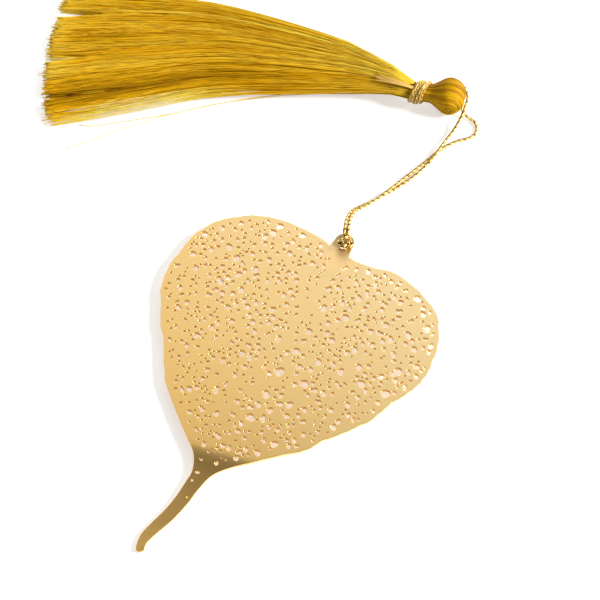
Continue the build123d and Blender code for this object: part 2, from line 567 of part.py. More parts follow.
rng = random.Random(PATTERN_SEED)
lock_edge_share = 0.045
locks, centres = [], []
for layer in (1, -1):
    for group in range(SKIRT_COLUMNS):
        u0, u1 = -1 + 2 * group / SKIRT_COLUMNS, -1 + 2 * (group + 1) / SKIRT_COLUMNS
        tall = math.sqrt(1 - ((u0 + u1) / 2) ** 2)
        tall = min(tall, math.sqrt(max(0.12, 1 - max(u0 * u0, u1 * u1))) + 0.12)

        def box(x, inset):
            yc, hw, zc, hh, thick = station(x)
            y0, y1 = yc + hw * u0 + inset, yc + hw * u1 - inset
            z0, z1 = zc + inset, zc + hh * tall
            if layer < 0:
                z0, z1 = zc - hh * tall, zc - inset
            return y0, y1, z0, z1

        tied = box(0.0, LOCK_GAP / 2)
        mass = block(-SLICE, 0.0, tied, tied)
        flare = block(0.0, solid_end, tied, box(solid_end, LOCK_GAP / 2))
        strands = []
        for i in range(LOCK_COLUMNS):
            for j in range(LOCK_ROWS):
                row = j if layer > 0 else -1 - j
                across = (i + (row % 3) / 3.0 + 1.0 / 6.0) / LOCK_COLUMNS
                u = u0 + (u1 - u0) * (lock_edge_share + (1.0 - 2.0 * lock_edge_share) * across)
                v = layer * tall * (j + 0.5) / LOCK_ROWS
                finish = SKIRT_LENGTH - SKIRT_ROUND * (u + longest_share) ** 2
                finish += SKIRT_RAGGED * rng.uniform(-1, 1)
                ring_list = []
                for x in [solid_end - STRAND_SINK] + sections[2:-1] + [finish]:
                    yc, hw, zc, hh, thick = station(x)
                    y, z = yc + hw * u, zc + hh * v
                    corners = [(x, y - thick / 2, z - thick / 3), (x, y + thick / 2, z - thick / 3),
                               (x, y, z + thick / 1.8)]
                    ring_list.append(corners)
                strands.append(prism_solid(ring_list))
                centres.append((u, v))
        lock = mass.fuse(flare, *strands)
        lock = lock.clean()
        locks.append(tassel_plane * lock)
for x in sections[1:]:
    yc, hw, zc, hh, thick = station(x)
    least = min(max(abs(p[0] - q[0]) * hw - thick, abs(p[1] - q[1]) * hh - 0.9 * thick)
                for a, p in enumerate(centres) for q in centres[:a])
    print("strands at %.0f: least gap %.3f" % (x, least))

nodes = {"leaf_plate": leaf_plate, "eyelet_bight": eyelet_bight, "cord_knot": cord_knot,
         "cord_leg_a": cord_leg_a, "cord_leg_b": cord_leg_b, "tassel_head": tassel_head,
         "neck_binding": neck_binding}
for k, lock in enumerate(locks):
    nodes["skirt_lock_%02d" % (k + 1)] = lock
for name, solid in nodes.items():
    pieces = solid.solids()
    if len(pieces) != 1:
        print("WARNING", name, "solids", len(pieces))
    export_step(pieces[0], "parts/%s.step" % name)
print("knot centre", knot_centre)
print("head hinge", head_centre, "axis", tuple(tassel_plane.y_dir))
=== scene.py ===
import math
import random

import bmesh
import bpy
import numpy as np
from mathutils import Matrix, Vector
from mathutils.kdtree import KDTree


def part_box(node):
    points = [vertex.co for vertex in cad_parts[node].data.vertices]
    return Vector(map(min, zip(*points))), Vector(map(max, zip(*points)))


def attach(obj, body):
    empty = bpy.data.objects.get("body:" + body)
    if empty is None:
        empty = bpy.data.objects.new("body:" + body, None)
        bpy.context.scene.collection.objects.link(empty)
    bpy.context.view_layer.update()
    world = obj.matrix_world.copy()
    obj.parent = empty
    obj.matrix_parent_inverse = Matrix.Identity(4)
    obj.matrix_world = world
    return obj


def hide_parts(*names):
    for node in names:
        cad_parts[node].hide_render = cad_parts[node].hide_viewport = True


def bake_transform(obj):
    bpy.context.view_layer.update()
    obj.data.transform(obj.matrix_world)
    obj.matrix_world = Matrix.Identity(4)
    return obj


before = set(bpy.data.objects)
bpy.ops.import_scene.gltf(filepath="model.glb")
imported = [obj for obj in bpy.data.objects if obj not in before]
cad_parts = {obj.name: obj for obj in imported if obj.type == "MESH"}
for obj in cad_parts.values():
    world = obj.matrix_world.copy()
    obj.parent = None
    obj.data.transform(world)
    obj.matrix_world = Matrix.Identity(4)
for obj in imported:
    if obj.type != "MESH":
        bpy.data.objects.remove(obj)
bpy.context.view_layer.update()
scene = bpy.context.scene
MM = 0.001
UP = np.array([0.0, 0.0, 1.0])

# Sizes in millimetres: the part's own, but for the eyelet and its tab, which are drawn a little smaller
BLADE_HALF = 30.6         # half the width of the leaf
LEAF_REACH = 82.7         # from the eyelet centre to the tip
EYELET_Y = 28.0           # eyelet centre above the origin
PLATE = 0.6               # sheet thickness of the leaf
SEEN_PLATE = 0.85         # drawn thicker than the sheet, on the blade's back, so that the holes' walls show
EYELET_RADIUS = 1.42
TAB_RADIUS = 2.2
TAB_Y = 27.6              # middle of the tab's round end
TAB_BEND_START = 2.3      # from the eyelet centre to the start of the tab's bend
TAB_BEND_RADIUS = 3.0
TAB_TURN = math.radians(10.0)
TAIL_ROOT = 58.5          # from the eyelet centre to the start of the tail
TABLE_Z = -1.517          # the table that the bookmark lies on
CORD = 0.8                # cord diameter
HEAD_RADIUS = 3.8
HEAD_REACH = 8.8          # from the skirt's start back to the middle of the head's dome
NECK_RADIUS = 2.2
SKIRT_LENGTH = 87.0

# Camera first: 60 degrees above the table, looking at the middle of the picture
VIEW_RISE = math.radians(60.0)
VIEW_DISTANCE = 326.3
LOOK_AT = np.array([-1.85, 11.41, TABLE_Z])
LOOK_WAY = np.array([-0.5, 0.866, 0.0])       # level, away from the camera
RIGHT_WAY = np.array([0.866, 0.5, 0.0])       # level, to the right of the picture
camera_data = bpy.data.cameras.new("camera")
camera_data.lens = 90.0
camera_data.sensor_width = 36.0
camera_data.clip_start = 0.01
camera_data.clip_end = 10.0
camera = bpy.data.objects.new("camera", camera_data)
scene.collection.objects.link(camera)
back = -LOOK_WAY * math.cos(VIEW_RISE) + UP * math.sin(VIEW_RISE)
camera.location = Vector((LOOK_AT + back * VIEW_DISTANCE) * MM)
camera.rotation_mode = "QUATERNION"
camera.rotation_quaternion = Vector(-back).to_track_quat("-Z", "Y")
scene.camera = camera
scene.view_settings.view_transform = "Standard"


def tint(code, alpha=1.0):
    # A colour written as the screen shows it, made linear.
    values = [int(code[k:k + 2], 16) / 255.0 for k in (1, 3, 5)]
    linear = [v / 12.92 if v <= 0.04045 else ((v + 0.055) / 1.055) ** 2.4 for v in values]
    return (*linear, alpha)


def node(tree, kind, inputs=None, stops=(), **settings):
    # A node with its settings, its links or fixed inputs and, on a colour ramp, its stops.
    made = tree.nodes.new(kind)
    for name, value in settings.items():
        setattr(made, name, value)
    for socket, value in (inputs or {}).items():
        if isinstance(value, bpy.types.NodeSocket):
            tree.links.new(value, made.inputs[socket])
        else:
            made.inputs[socket].default_value = value
    while stops and len(made.color_ramp.elements) < len(stops):
        made.color_ramp.elements.new(0.5)
    for k, (place, code) in enumerate(stops):
        made.color_ramp.elements[k].position = place
        made.color_ramp.elements[k].color = tint(code)
    return made


def material(name, constants):
    made = bpy.data.materials.new(name)
    made.use_nodes = True
    tree = made.node_tree
    shader = tree.nodes["Principled BSDF"]
    for socket, value in constants.items():
        shader.inputs[socket].default_value = value
    return made, tree, shader


def toned_thread(name, constants, stops):
    # A thread whose colour follows the tone that is kept on its mesh.
    made, tree, shader = material(name, constants)
    shade = node(tree, "ShaderNodeAttribute", attribute_name="tone")
    tone = node(tree, "ShaderNodeValToRGB", {"Fac": shade.outputs["Fac"]}, stops)
    tree.links.new(tone.outputs["Color"], shader.inputs["Base Color"])
    return made


# Gold-plated brass, stamped from sheet: a warm satin mirror with a faint unevenness, duller below the knot.
# Painted reflection: its colour is paler towards the eyelet and deeper towards the tail
SATIN, DULL = 0.20, 0.5               # roughness of the plating, and below the knot
DULL_SPOT = (1.2, 23.5, 0.6)
DULL_INNER, DULL_OUTER = 2.0, 7.0     # millimetres from this spot to where it is still dull, and satin again
UNEVEN_WIDTH, UNEVEN_DEPTH = 3.846, 0.1       # millimetres
PAINTED_REFLECTION_FROM, PAINTED_REFLECTION_TO = -35.0, 30.0     # places along the leaf between which the painted reflection changes
reflection_lean_share = 0.45                # the change slants: so much of the place across is added
gold, tree, shader = material("gold_plated_brass", {"Metallic": 1.0, "Roughness": SATIN})
place = node(tree, "ShaderNodeTexCoord")
parts = node(tree, "ShaderNodeSeparateXYZ", {"Vector": place.outputs["Object"]})
# Painted reflection: the base colour changes along the leaf as the mirrored room's light would
painted_reflection = node(tree, "ShaderNodeMath", {0: parts.outputs["X"], 1: reflection_lean_share, 2: parts.outputs["Y"]},
             operation="MULTIPLY_ADD")
painted_reflection = node(tree, "ShaderNodeMapRange", {"Value": painted_reflection.outputs[0], "From Min": PAINTED_REFLECTION_FROM * MM,
                                          "From Max": PAINTED_REFLECTION_TO * MM})
tone = node(tree, "ShaderNodeValToRGB", {"Fac": painted_reflection.outputs["Result"]},
            [(0.0, "#F4C878"), (0.55, "#F7D492"), (1.0, "#FBDDA4")])
tree.links.new(tone.outputs["Color"], shader.inputs["Base Color"])
uneven = node(tree, "ShaderNodeTexNoise", {"Vector": place.outputs["Object"], "Detail": 2.0,
                                           "Scale": 1.0 / (UNEVEN_WIDTH * MM)})
dents = node(tree, "ShaderNodeBump", {"Height": uneven.outputs["Fac"], "Strength": 0.10,
                                      "Distance": UNEVEN_DEPTH * MM})
tree.links.new(dents.outputs["Normal"], shader.inputs["Normal"])
away = node(tree, "ShaderNodeVectorMath", {0: place.outputs["Object"], 1: [c * MM for c in DULL_SPOT]},
            operation="DISTANCE")
dull = node(tree, "ShaderNodeMapRange", {"Value": away.outputs["Value"], "From Min": DULL_INNER * MM,
                                         "From Max": DULL_OUTER * MM, "To Min": DULL, "To Max": SATIN},
            interpolation_type="SMOOTHSTEP")
tree.links.new(dull.outputs["Result"], shader.inputs["Roughness"])

# Pierced brass: the walls of the holes, duller than the faces, and painted deeper in colour as painted shade
# in the holes
pierced = material("hole_wall_painted_shade", {"Metallic": 0.5, "Roughness": 0.4, "Base Color": tint("#E8BC64")})[0]

# Metallic film wound on a thread: glints along each ply and darker plies between them, partly from the plies'
# shape and partly painted as highlight and shade by the tone
film = toned_thread("metallic_film_thread", {"Metallic": 1.0, "Roughness": 0.30},
                    [(0.0, "#6E4814"), (0.5, "#D2A852"), (1.0, "#FBE6A4")])

# Viscose floss, combed: deep golden and silky, each strand of its own tone; the sparse outer ones painted
# pale, as painted light shining through them
floss = toned_thread("viscose_floss", {"Roughness": 0.5, "IOR": 1.52, "Specular IOR Level": 0.12},
                     [(0.0, "#8E6000"), (0.4, "#EEBA08"), (0.8, "#FFE856"), (1.0, "#FFF4D8")])

# Viscose binding thread, twisted: paler and smoother than the skirt
thread = toned_thread("viscose_binding_thread", {"Roughness": 0.36, "IOR": 1.52},
                      [(0.0, "#8E6522"), (0.5, "#D8AC52"), (1.0, "#FADB74")])


def add_piece(name, mesh, finish, body, slot, *nodes):
    obj = bpy.data.objects.new(name, mesh)
    scene.collection.objects.link(obj)
    mesh.materials.append(finish)
    if body:
        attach(obj, body)
    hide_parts(*nodes)
    return obj


def unit_rows(v):
    return v / np.maximum(np.linalg.norm(v, axis=-1, keepdims=True), 1e-12)


def run_along(line):
    # How far each point of a line lies along it.
    return np.concatenate([[0.0], np.cumsum(np.linalg.norm(np.diff(line, axis=0), axis=1))])


def frames(line):
    # Two directions square to a line at each of its points, carried along without twist.
    ahead = unit_rows(np.gradient(line, axis=0))
    first = np.cross(ahead[0], UP)
    if np.linalg.norm(first) < 0.1:
        first = np.cross(ahead[0], [1.0, 0.0, 0.0])
    sides = [first / np.linalg.norm(first)]
    for way in ahead[1:]:
        moved = sides[-1] - way * np.dot(sides[-1], way)
        sides.append(moved / np.linalg.norm(moved))
    sides = np.array(sides)
    return ahead, sides, np.cross(ahead, sides)


def tube_mesh(name, lines, radii, tones, sides=6):
    # One mesh of many tubes: lines in millimetres, a radius for each line or for each of its points.
    points, faces, shades, base = [], [], [], 0
    corner = np.arange(sides) * 2.0 * math.pi / sides
    for line, radius, shade in zip(lines, radii, tones):
        line = np.asarray(line, float)
        count = len(line)
        ahead, side, up = frames(line)
        wide = np.broadcast_to(np.asarray(radius, float), (count,))
        turn = np.cos(corner)[None, :, None] * side[:, None, :]
        turn = turn + np.sin(corner)[None, :, None] * up[:, None, :]
        points.append((line[:, None, :] + wide[:, None, None] * turn).reshape(-1, 3))
        grid = base + np.arange(count * sides).reshape(count, sides)
        low, high = grid[:-1], grid[1:]
        quads = np.stack([low, np.roll(low, -1, 1), np.roll(high, -1, 1), high], axis=-1)
        faces.extend(quads.reshape(-1, 4).tolist())
        faces.append(grid[0][::-1].tolist())
        faces.append(grid[-1].tolist())
        shades.append(np.repeat(np.broadcast_to(np.asarray(shade, np.float32), (count,)), sides))
        base += count * sides
    mesh = bpy.data.meshes.new(name)
    mesh.from_pydata((np.concatenate(points) * MM).tolist(), [], faces)
    tones_of = mesh.attributes.new("tone", "FLOAT", "POINT")
    tones_of.data.foreach_set("value", np.ascontiguousarray(np.concatenate(shades), np.float32))
    mesh.shade_smooth()
    return mesh


def smooth(points, steps):
    # A soft line through points.
    p = np.array(points, float)
    p = np.vstack([2 * p[0] - p[1], p, 2 * p[-1] - p[-2]])
    t = np.linspace(0.0, 1.0, steps, endpoint=False)[:, None]
    runs = []
    for a, b, c, d in zip(p[:-3], p[1:-2], p[2:-1], p[3:]):
        runs.append(b + 0.5 * t * (c - a + t * (2 * a - 5 * b + 4 * c - d + t * (3 * b - a - 3 * c + d))))
    return np.vstack(runs + [p[-2:-1]])


def ease(t):
    t = np.clip(t, 0.0, 1.0)
    return t * t * (3.0 - 2.0 * t)


# Leaf outline in shares of the half width and of the reach below the eyelet, as in the part's source
right_shares = [(0.085, 0.036), (0.163, 0.037), (0.294, 0.030), (0.425, 0.018), (0.556, 0.025),
                (0.686, 0.040), (0.824, 0.067), (0.908, 0.104), (0.961, 0.148), (0.997, 0.200),
                (1.003, 0.254), (0.974, 0.299), (0.916, 0.341), (0.878, 0.382), (0.822, 0.435),
                (0.725, 0.487), (0.628, 0.536), (0.554, 0.581), (0.420, 0.626), (0.298, 0.672),
                (0.185, 0.713), (0.116, 0.749), (0.090, 0.791), (0.078, 0.840), (0.052, 0.892),
                (0.013, 0.938), (-0.005, 0.967), (0.002, 0.990)]
tip_share = (-0.025, 1.0)
left_shares = [(-0.049, 0.992), (-0.067, 0.960), (-0.052, 0.926), (-0.026, 0.885), (-0.010, 0.842),
               (-0.007, 0.796), (-0.011, 0.760), (-0.065, 0.722), (-0.165, 0.692), (-0.308, 0.652),
               (-0.466, 0.605), (-0.582, 0.557), (-0.673, 0.504), (-0.783, 0.455), (-0.871, 0.405),
               (-0.949, 0.356), (-0.986, 0.305), (-0.989, 0.247), (-0.974, 0.181), (-0.918, 0.128),
               (-0.827, 0.086), (-0.706, 0.052), (-0.575, 0.030), (-0.431, 0.020), (-0.278, 0.018),
               (-0.150, 0.022), (-0.085, 0.029)]

# Pierced pattern: the part's own larger and smaller openings, with finer holes and specks added after them
HOLE_EDGE = 0.55          # least metal between a hole and the outline
HOLE_WEB = 0.3            # least metal between two holes
RIB_HALF = 1.3            # half width of the bare midrib at the eyelet
RIB_X = 0.95
LARGE_HOLE = 1.0
LEAST_HOLE = 0.3
TAB_CLEAR = 4.6           # bare metal around the eyelet
PATTERN_SEED = 41
# Middle radius, count, and the share that is left out at the lower left
hole_classes = [(0.46, 190, 0.6), (0.36, 130, 0.6), (0.22, 320, 0.0)]
hole_spread_share, pair_share, twin_share, step_share = 0.24, 0.36, 0.78, 0.80
merge_share, unlike_share, thin_from_share, rib_reach_share = 0.85, 0.7, 0.42, 0.5


def plan(share):
    return (share[0] * BLADE_HALF, EYELET_Y - share[1] * LEAF_REACH)


ring = [plan(s) for s in right_shares + [tip_share] + left_shares]


def inside(x, y):
    hit = False
    for k in range(len(ring)):
        (x0, y0), (x1, y1) = ring[k - 1], ring[k]
        if (y0 > y) != (y1 > y) and x < x0 + (y - y0) * (x1 - x0) / (y1 - y0):
            hit = not hit
    return hit


def to_edge(x, y):
    best = None
    for k in range(len(ring)):
        (x0, y0), (x1, y1) = ring[k - 1], ring[k]
        dx, dy = x1 - x0, y1 - y0
        t = max(0.0, min(1.0, ((x - x0) * dx + (y - y0) * dy) / (dx * dx + dy * dy)))
        d = math.hypot(x - x0 - t * dx, y - y0 - t * dy)
        best = d if best is None else min(best, d)
    return best


# The larger openings: across, down and radius, as shares of the blade's half width, of the leaf's reach
# below the eyelet and of the largest opening.
opening_shares = [(-0.641, 0.05, 0.8), (-0.477, 0.043, 0.8), (-0.491, 0.069, 0.85), (-0.523, 0.09, 0.7),
                  (-0.296, 0.037, 0.7), (-0.329, 0.067, 0.65), (-0.354, 0.083, 0.6), (-0.912, 0.164, 0.8),
                  (-0.829, 0.125, 0.6), (-0.736, 0.086, 0.6), (-0.704, 0.166, 0.8), (-0.611, 0.187, 0.8),
                  (-0.53, 0.154, 0.6), (-0.805, 0.197, 0.65), (-0.775, 0.207, 0.55),
                  (-0.528, 0.227, 0.75), (-0.505, 0.209, 0.55), (-0.444, 0.192, 0.75),
                  (-0.898, 0.233, 0.7), (-0.82, 0.266, 0.65), (-0.63, 0.264, 0.6), (-0.602, 0.27, 0.65),
                  (-0.578, 0.25, 0.65), (-0.444, 0.264, 0.7), (-0.481, 0.284, 0.6), (-0.546, 0.296, 0.6),
                  (-0.384, 0.288, 0.6), (-0.335, 0.299, 0.7), (-0.3, 0.278, 0.6), (-0.17, 0.274, 0.7),
                  (-0.241, 0.331, 0.6), (-0.287, 0.32, 0.6), (-0.454, 0.326, 0.65), (-0.162, 0.221, 0.6),
                  (-0.143, 0.202, 0.6), (-0.106, 0.243, 0.6), (-0.326, 0.206, 0.6), (-0.292, 0.175, 0.6),
                  (-0.301, 0.103, 0.65), (-0.215, 0.068, 0.65), (-0.118, 0.1, 0.65),
                  (-0.037, 0.092, 0.55), (-0.144, 0.167, 0.6), (-0.4, 0.147, 0.6), (-0.829, 0.338, 0.55),
                  (-0.37, 0.356, 0.6), (-0.19, 0.353, 0.6), (-0.079, 0.315, 0.65), (-0.722, 0.367, 0.6),
                  (0.231, 0.093, 0.6), (0.321, 0.089, 0.55), (0.406, 0.09, 0.6), (0.264, 0.049, 0.6),
                  (0.326, 0.054, 0.55), (0.444, 0.045, 0.55), (0.5, 0.053, 0.55), (0.672, 0.057, 0.8),
                  (0.524, 0.083, 0.6), (0.581, 0.089, 0.65), (0.763, 0.091, 0.7), (0.842, 0.125, 0.85),
                  (0.142, 0.131, 0.65), (0.312, 0.132, 0.75), (0.274, 0.143, 0.55), (0.496, 0.132, 0.6),
                  (0.227, 0.166, 0.6), (0.576, 0.167, 0.7), (0.751, 0.164, 0.75), (0.93, 0.164, 0.6),
                  (0.84, 0.194, 0.7), (0.661, 0.199, 0.75), (0.51, 0.204, 0.65), (0.307, 0.2, 0.8),
                  (0.137, 0.204, 0.8), (0.269, 0.217, 0.55), (0.619, 0.213, 0.6), (0.571, 0.236, 0.6),
                  (0.222, 0.237, 0.6), (0.737, 0.234, 0.65), (0.916, 0.235, 0.65), (0.949, 0.26, 0.55),
                  (0.255, 0.264, 0.6), (0.312, 0.276, 0.7), (0.486, 0.271, 0.75), (0.449, 0.288, 0.6),
                  (0.826, 0.271, 0.9), (0.808, 0.283, 0.65), (0.841, 0.297, 0.65), (0.137, 0.283, 0.75),
                  (0.576, 0.309, 0.7), (0.741, 0.306, 0.65), (0.706, 0.318, 0.6), (0.416, 0.335, 0.55),
                  (0.831, 0.342, 0.95), (0.652, 0.348, 0.85), (0.486, 0.344, 0.75), (0.142, 0.349, 0.8),
                  (0.316, 0.348, 0.75), (0.09, 0.365, 0.55), (-0.11, 0.384, 0.55), (-0.466, 0.398, 0.6),
                  (-0.522, 0.437, 0.7), (-0.175, 0.423, 0.7), (-0.263, 0.465, 0.6), (-0.105, 0.454, 0.55),
                  (-0.133, 0.487, 0.55), (-0.318, 0.509, 0.55), (-0.346, 0.578, 0.65),
                  (-0.087, 0.602, 0.6), (0.219, 0.384, 0.65), (0.297, 0.377, 0.6), (0.121, 0.422, 1),
                  (0.316, 0.42, 0.9), (0.464, 0.42, 0.65), (0.26, 0.434, 0.55), (0.649, 0.417, 0.65),
                  (0.69, 0.442, 0.55), (0.57, 0.451, 0.6), (0.131, 0.494, 0.85), (0.307, 0.49, 0.75),
                  (0.413, 0.483, 0.6), (0.649, 0.489, 0.65), (0.334, 0.52, 0.6), (0.126, 0.528, 0.65),
                  (0.214, 0.528, 0.65), (0.126, 0.569, 0.9), (0.469, 0.569, 0.55), (0.367, 0.602, 0.75),
                  (0.302, 0.643, 0.65), (0.2, 0.681, 0.55)]


def free_metal(x, y, circles):
    # Largest radius that leaves enough metal round a hole at this place.
    if not inside(x, y):
        return 0.0
    limits = [to_edge(x, y) - HOLE_EDGE, math.hypot(x, y - EYELET_Y) - TAB_CLEAR,
              y - EYELET_Y + TAIL_ROOT - HOLE_EDGE]
    return min(limits + [math.hypot(x - c[0], y - c[1]) - c[2] - HOLE_WEB for c in circles])


def runs_into(a, b):
    apart = math.hypot(a[0] - b[0], a[1] - b[1])
    return apart < merge_share * (a[2] + b[2]) and abs(a[2] - b[2]) < unlike_share * apart


def placed_openings():
    # The larger openings, each as one hole or two run together, made smaller where metal would be short.
    openings = []
    for across, down, size in opening_shares:
        x, y = plan((across, down))
        r = size * LARGE_HOLE
        partner = next((f for f in openings if len(f) == 1 and runs_into(f[0], (x, y, r))), [])
        others = [c for f in openings if f is not partner for c in f]
        r = min(r, free_metal(x, y, others))
        joined = partner and runs_into(partner[0], (x, y, r))
        if not joined:
            r = min(r, free_metal(x, y, others + partner))
        if r < LEAST_HOLE:
            continue
        if joined:
            partner.append((x, y, r))
        else:
            openings.append([(x, y, r)])
    return openings


def scatter(openings):
    # Smaller holes are thrown at random between the others and kept where there is enough metal.
    rng = random.Random(PATTERN_SEED)
    circles = [c for found in openings for c in found]
    low = min(p[1] for p in ring)
    wide = max(abs(p[0]) for p in ring)
    for middle, count, thin_share in hole_classes:
        made, tries = 0, 0
        while made < count and tries < 60 * count:
            tries += 1
            x = rng.uniform(-wide, wide)
            y = rng.uniform(low, EYELET_Y)
            r = middle * (1.0 + hole_spread_share * rng.uniform(-1.0, 1.0))
            turn = rng.uniform(0.0, 2.0 * math.pi)
            twin = rng.random() < pair_share
            left_out = rng.random() < thin_share
            down = EYELET_Y - y
            if left_out and x < 0.0 and down > thin_from_share * LEAF_REACH:
                continue
            rib = RIB_HALF * (1.0 - down / (rib_reach_share * LEAF_REACH))
            if abs(x - RIB_X) < rib + r or free_metal(x, y, circles) < r:
                continue
            found = [(x, y, r)]
            if twin:
                q = r * twin_share
                step = step_share * (r + q)
                other = (x + step * math.cos(turn), y + step * math.sin(turn), q)
                if abs(other[0] - RIB_X) > rib + q and free_metal(other[0], other[1], circles) > q:
                    found.append(other)
            made += 1
            openings.append(found)
            circles.extend(found)
    return openings


oval_share, trefoil_share = 0.11, 0.07       # by which a hole is out of round


def opening_outline(found, sides, phase):
    # Outline of one hole, a little out of round, or of two holes run together.
    points = []
    if len(found) == 1:
        x, y, r = found[0]
        for k in range(sides):
            a = 2.0 * math.pi * k / sides
            oval = oval_share * math.sin(2.0 * a + phase)
            trefoil = trefoil_share * math.sin(3.0 * a + 2.0 * phase)
            d = r * (1.0 + oval + trefoil)
            points.append((x + d * math.cos(a), y + d * math.sin(a)))
        return points
    (x0, y0, r0), (x1, y1, r1) = found
    d = math.hypot(x1 - x0, y1 - y0)
    way = math.atan2(y1 - y0, x1 - x0)
    for x, y, r, other, first in ((x0, y0, r0, r1, way), (x1, y1, r1, r0, way + math.pi)):
        half = math.acos((d * d + r * r - other * other) / (2.0 * d * r))
        turns = [first + half + (2.0 * math.pi - 2.0 * half) * k / sides for k in range(sides)]
        points += [(x + r * math.cos(a), y + r * math.sin(a)) for a in turns]
    return points


# Leaf: its outline and holes as one flat, filled curve with rounded edges
RIM = 0.09                # round of the pierced edges
BIG_HOLE = 0.6            # holes above this radius have more sides
leaf_curve = bpy.data.curves.new("leaf_outline", "CURVE")
leaf_curve.dimensions = "2D"
leaf_curve.fill_mode = "BOTH"
leaf_curve.extrude = SEEN_PLATE / 2 - RIM
leaf_curve.bevel_depth = RIM
leaf_curve.bevel_resolution = 2


def add_loop(points):
    spline = leaf_curve.splines.new("POLY")
    spline.points.add(len(points) - 1)
    for spot, (x, y) in zip(spline.points, points):
        spot.co = (x, y, 0.0, 1.0)
    spline.use_cyclic_u = True


def circle(radius, turns):
    return [(radius * math.cos(a), TAB_Y + radius * math.sin(a)) for a in turns]


# The tab's round end and the points where its sides run out into the blade
tab_arc = circle(TAB_RADIUS, np.linspace(math.pi, 0.0, 25))
tab_foot = [(-2.46, 25.9), (-2.28, 26.6)]
tab_side = [(2.27, 26.5), (2.42, 25.7)]

# The cut edge is a little wavy on the blade: height, radians a millimetre and start of each wave. The waves
# fade out towards the eyelet and the tail.
edge_waves = [(0.08, 0.83, 0.0), (0.06, 1.47, 1.0), (0.04, 2.9, 0.0)]
WAVE_TOP, WAVE_TOP_FADE = EYELET_Y, 6.0
WAVE_FOOT, WAVE_FOOT_FADE = -28.0, 8.0
edge = smooth(ring, 8)
edge_way = np.gradient(edge, axis=0)
edge_out = unit_rows(np.stack([-edge_way[:, 1], edge_way[:, 0]], axis=1))
edge_run = run_along(edge)
wave = sum(high * np.sin(rate * edge_run + start) for high, rate, start in edge_waves)
wave *= ease((WAVE_TOP - edge[:, 1]) / WAVE_TOP_FADE) * ease((edge[:, 1] - WAVE_FOOT) / WAVE_FOOT_FADE)
add_loop([tuple(p) for p in edge + wave[:, None] * edge_out] + tab_foot + tab_arc + tab_side)
add_loop(circle(EYELET_RADIUS, np.linspace(0.0, 2.0 * math.pi, 36, endpoint=False)))
openings = scatter(placed_openings())
# Small holes that run down into the tail, in the same shares as the outline, with their radii
tail_holes = [(0.015, 0.701, 0.22), (0.022, 0.690, 0.16), (0.079, 0.689, 0.20), (0.001, 0.726, 0.28),
              (0.103, 0.716, 0.42), (0.026, 0.758, 0.36), (0.022, 0.782, 0.26), (0.058, 0.825, 0.15)]
for across, down, radius in tail_holes:
    x, y = plan((across, down))
    if all(math.hypot(x - c[0], y - c[1]) > radius + c[2] + HOLE_WEB for found in openings for c in found):
        openings.append([(x, y, radius)])
for k, found in enumerate(openings):
    grown = [(x, y, r + RIM) for x, y, r in found]
    add_loop(opening_outline(grown, 20 if found[0][2] > BIG_HOLE else 14, 2.4 * k))
holder = bpy.data.objects.new("leaf_outline", leaf_curve)
leaf_mesh = bpy.data.meshes.new_from_object(holder)
bpy.data.objects.remove(holder)
bpy.data.curves.remove(leaf_curve)

# The flat sheet is cut across where it bends, then the tab is turned up and the tail down
TAB_HALF = TAB_RADIUS + 0.15
TAIL_THINNING = 3.75      # length over which the drawn thickness falls to the sheet's own
bend_y = EYELET_Y - TAB_BEND_START
tab_cuts = (0.0, 0.13, 0.26, 0.39, 0.52)
tail_start = (1.3, EYELET_Y - 56.3)
tail_lean = math.radians(12.0)
tail_normal = (math.sin(tail_lean), -math.cos(tail_lean))
tail_cuts = [0.25 * k for k in range(16)] + [4.5, 5.5, 7.0, 9.0, 12.0, 15.0, 18.0, 21.0]
tail_places = [0.0, 1.0, 2.0, 3.2, 6.0, 11.0, 17.0, 22.0, 30.0]
tail_drops = [0.0, 0.018, 0.075, 0.19, 0.50, 0.85, 1.10, 1.21, 1.25]
tail_bend = smooth(list(zip(tail_places, tail_drops)), 8)
shape = bmesh.new()
shape.from_mesh(leaf_mesh)
bmesh.ops.remove_doubles(shape, verts=shape.verts[:], dist=0.002)


def cut_across(spot, normal):
    everything = shape.verts[:] + shape.edges[:] + shape.faces[:]
    bmesh.ops.bisect_plane(shape, geom=everything, plane_co=spot, plane_no=normal)


for step in tab_cuts:
    cut_across((0.0, bend_y + step, 0.0), (0.0, 1.0, 0.0))
for step in tail_cuts:
    cut_across((tail_start[0] + step * tail_normal[0], tail_start[1] + step * tail_normal[1], 0.0),
               (*tail_normal, 0.0))


def on_tab(x, y):
    return y > bend_y and abs(x) < TAB_HALF


def down_tail(x, y):
    return (x - tail_start[0]) * tail_normal[0] + (y - tail_start[1]) * tail_normal[1]


def sheet_rise(x, y):
    # Height of the bent sheet above the blade's own plane.
    if on_tab(x, y):
        run = y - bend_y
        swing = TAB_BEND_RADIUS * math.sin(TAB_TURN)
        if run < swing:
            return TAB_BEND_RADIUS - math.sqrt(TAB_BEND_RADIUS ** 2 - run ** 2)
        return TAB_BEND_RADIUS * (1.0 - math.cos(TAB_TURN)) + (run - swing) * math.tan(TAB_TURN)
    run = down_tail(x, y)
    return -float(np.interp(run, tail_bend[:, 0], tail_bend[:, 1])) if run > 0.0 else 0.0


def sheet_depth(x, y):
    # Thickness drawn: fuller on the blade, the sheet's own on the tab and the tail.
    to_tail = min(max(down_tail(x, y) / TAIL_THINNING, 0.0), 1.0)
    to_tab = min((y - bend_y) / tab_cuts[-1], 1.0) if on_tab(x, y) else 0.0
    return SEEN_PLATE + (PLATE - SEEN_PLATE) * max(to_tail, to_tab)


